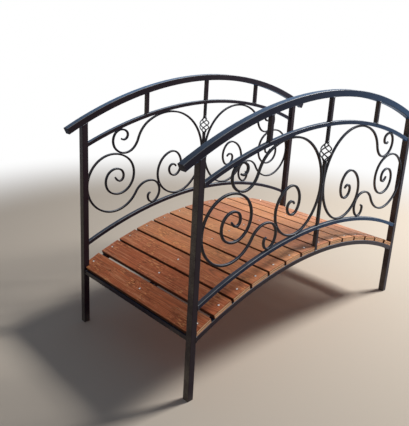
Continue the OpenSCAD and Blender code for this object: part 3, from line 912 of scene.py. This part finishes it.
screws = {
    "head": 0.0102,            # width of a head
    "rise": 0.0006,            # how far it stands out of the board
    "rim": 0.0012,             # how deep its rim goes in
    "recess": 0.0011,
    "lobe": 0.13,              # how far the six lobes of the recess swing out and in
    "sides": 12,
    "lines": (-wood["screwLine"], 0.0, wood["screwLine"]),
    "wander": 0.004,           # how far the fitter missed the line
    "turn": 6.28,
    "seed": 17,
}


def screwHead():
    # a low countersunk head with a six-lobed recess
    shape = bmesh.new()
    count, rise, lobe = screws["sides"], screws["rise"], screws["lobe"]
    # each ring: share of the head's radius, height, and swing of the lobes
    rings = []
    for share, height, swing in ((1, -screws["rim"], 0), (1, 0.0, 0), (0.9, rise, 0),
                                 (0.46, rise * 1.1, lobe), (0.38, rise - screws["recess"], lobe)):
        ring = []
        for k in range(count):
            a = 2 * math.pi * k / count
            r = screws["head"] / 2 * share * (1 + swing * (1 if k % 2 else -1))
            ring.append(shape.verts.new((r * math.cos(a), r * math.sin(a), height)))
        rings.append(ring)
    for low, high in zip(rings, rings[1:]):
        for k in range(count):
            after = (k + 1) % count
            shape.faces.new((low[k], low[after], high[after], high[k]))
    shape.faces.new(rings[-1])
    shape.faces.new(list(reversed(rings[0])))
    return newShape("screwShape", shape)


chance = random.Random(screws["seed"])
points, turns, sizes = [], [], []
top = deckRadius + bridge["boardHeight"]
for i in range(bridge["boards"]):
    a = (i + 0.5 - bridge["boards"] / 2) * boardPitch
    if i in (0, bridge["boards"] - 1):
        a = math.copysign(endBoardAt, a)
    tilt = Matrix.Rotation(a, 3, "Y")
    for line in screws["lines"]:
        spin = Matrix.Rotation(chance.uniform(0, screws["turn"]), 3, "Z")
        missed = chance.uniform(-1, 1) * screws["wander"]
        spot = tilt @ Vector((missed, line + chance.uniform(-1, 1) * screws["wander"], top))
        points.append((spot.x, spot.y, spot.z + deckCentre))
        turns.append(tuple((tilt @ spin).to_euler("XYZ")))
        sizes.append(1.0)
scattered("deck_screws", points, turns, sizes, screwHead(), zinc)
print("screws driven:", len(points))

# floor, light and camera
studio = {
    "floor": "#D2CCC4",
    "floorRadius": 9.0,
    "fade": (2.6, 4.6),        # where the floor turns into the white backdrop
    "ambient": 0.15,
    "ambientColour": "#F1F5FF",
    "keyAzimuth": -21.0,       # from +X towards +Y
    "keyHeight": 41.0,
    "keyAway": 6.0,
    "keyAim": 0.6,             # height of the point that it looks at
    "keySize": 1.4,
    "keyPower": 425.0,
    "keyColour": "#FFF6EA",
}


def whiteRays(tree):
    # 1 for the rays that should see a white backdrop
    path = add(tree, "ShaderNodeLightPath")
    seen = add(tree, "ShaderNodeMath", [path.outputs["Is Camera Ray"], path.outputs["Is Glossy Ray"]],
               operation="MAXIMUM")
    return add(tree, "ShaderNodeMath", [seen, path.outputs["Is Transmission Ray"]],
               operation="MAXIMUM")


world = bpy.data.worlds.new("paleStudio")
bpy.context.scene.world = world
world.use_nodes = True
tree = world.node_tree
tree.nodes.clear()
dim = add(tree, "ShaderNodeBackground", {"Color": linear(studio["ambientColour"]),
          "Strength": studio["ambient"]})
white = add(tree, "ShaderNodeBackground", {"Color": (1, 1, 1, 1), "Strength": 1.0})
mixed = add(tree, "ShaderNodeMixShader", [whiteRays(tree), dim, white])
add(tree, "ShaderNodeOutputWorld", {"Surface": mixed})

floorPaper, tree, spot = shaderTree("paleStudioFloor")
far = add(tree, "ShaderNodeVectorMath", [spot], operation="LENGTH")
fade = add(tree, "ShaderNodeMapRange", {"Value": far, "From Min": studio["fade"][0],
           "From Max": studio["fade"][1]}, interpolation_type="SMOOTHSTEP")
backdrop = add(tree, "ShaderNodeMath", [fade, whiteRays(tree)], operation="MULTIPLY")
matt = add(tree, "ShaderNodeBsdfPrincipled", {"Base Color": linear(studio["floor"]), "Roughness": 0.9,
           "Specular IOR Level": 0.1})
glow = add(tree, "ShaderNodeEmission", {"Color": (1, 1, 1, 1), "Strength": 1.0})
mixed = add(tree, "ShaderNodeMixShader", [backdrop, matt, glow])
add(tree, "ShaderNodeOutputMaterial", {"Surface": mixed})

shape = bmesh.new()
bmesh.ops.create_circle(shape, cap_ends=True, radius=studio["floorRadius"], segments=96)
floor = newShape("studio_floor", shape)
floor.data.materials.append(floorPaper)
bpy.context.scene.collection.objects.link(floor)

lamp = bpy.data.lights.new("key", "AREA")
lamp.shape = "SQUARE"
lamp.size = studio["keySize"]
lamp.energy = studio["keyPower"]
lamp.color = linear(studio["keyColour"])[:3]
key = bpy.data.objects.new("key", lamp)
a, e = math.radians(studio["keyAzimuth"]), math.radians(studio["keyHeight"])
back = Vector((math.cos(a) * math.cos(e), math.sin(a) * math.cos(e), math.sin(e)))
key.location = back * studio["keyAway"] + Vector((0, 0, studio["keyAim"]))
key.rotation_euler = back.to_track_quat("Z", "Y").to_euler()
bpy.context.scene.collection.objects.link(key)

view = {
    "place": (-2.6024, -2.1184, 1.8155),
    "heading": 0.8473,         # radians from +X towards +Y
    "tilt": 0.2901,            # below the horizon
    "roll": -0.0364,
    "sensor": 36,
    "lens": 533.94 / 426,      # focal length in heights of the picture
    "shift": (0.0815, -0.0628),
    "clip": (0.05, 60),
}
heading, tilt, roll = view["heading"], view["tilt"], view["roll"]
ahead = Vector((math.cos(tilt) * math.cos(heading), math.cos(tilt) * math.sin(heading), -math.sin(tilt)))
level = Vector((math.sin(heading), -math.cos(heading), 0))
down = ahead.cross(level)
acrossView = math.cos(roll) * level + math.sin(roll) * down
upView = math.sin(roll) * level - math.cos(roll) * down
camera = bpy.data.cameras.new("photoCamera")
camera.lens = view["lens"] * view["sensor"]
camera.sensor_width = view["sensor"]
camera.shift_x, camera.shift_y = view["shift"]
camera.clip_start, camera.clip_end = view["clip"]
eye = bpy.data.objects.new("photoCamera", camera)
turn = Matrix((acrossView, upView, -ahead)).transposed()
eye.matrix_world = Matrix.Translation(view["place"]) @ turn.to_4x4()
bpy.context.scene.collection.objects.link(eye)
bpy.context.scene.camera = eye
bpy.context.scene.view_settings.view_transform = "Standard"
print("studio set")
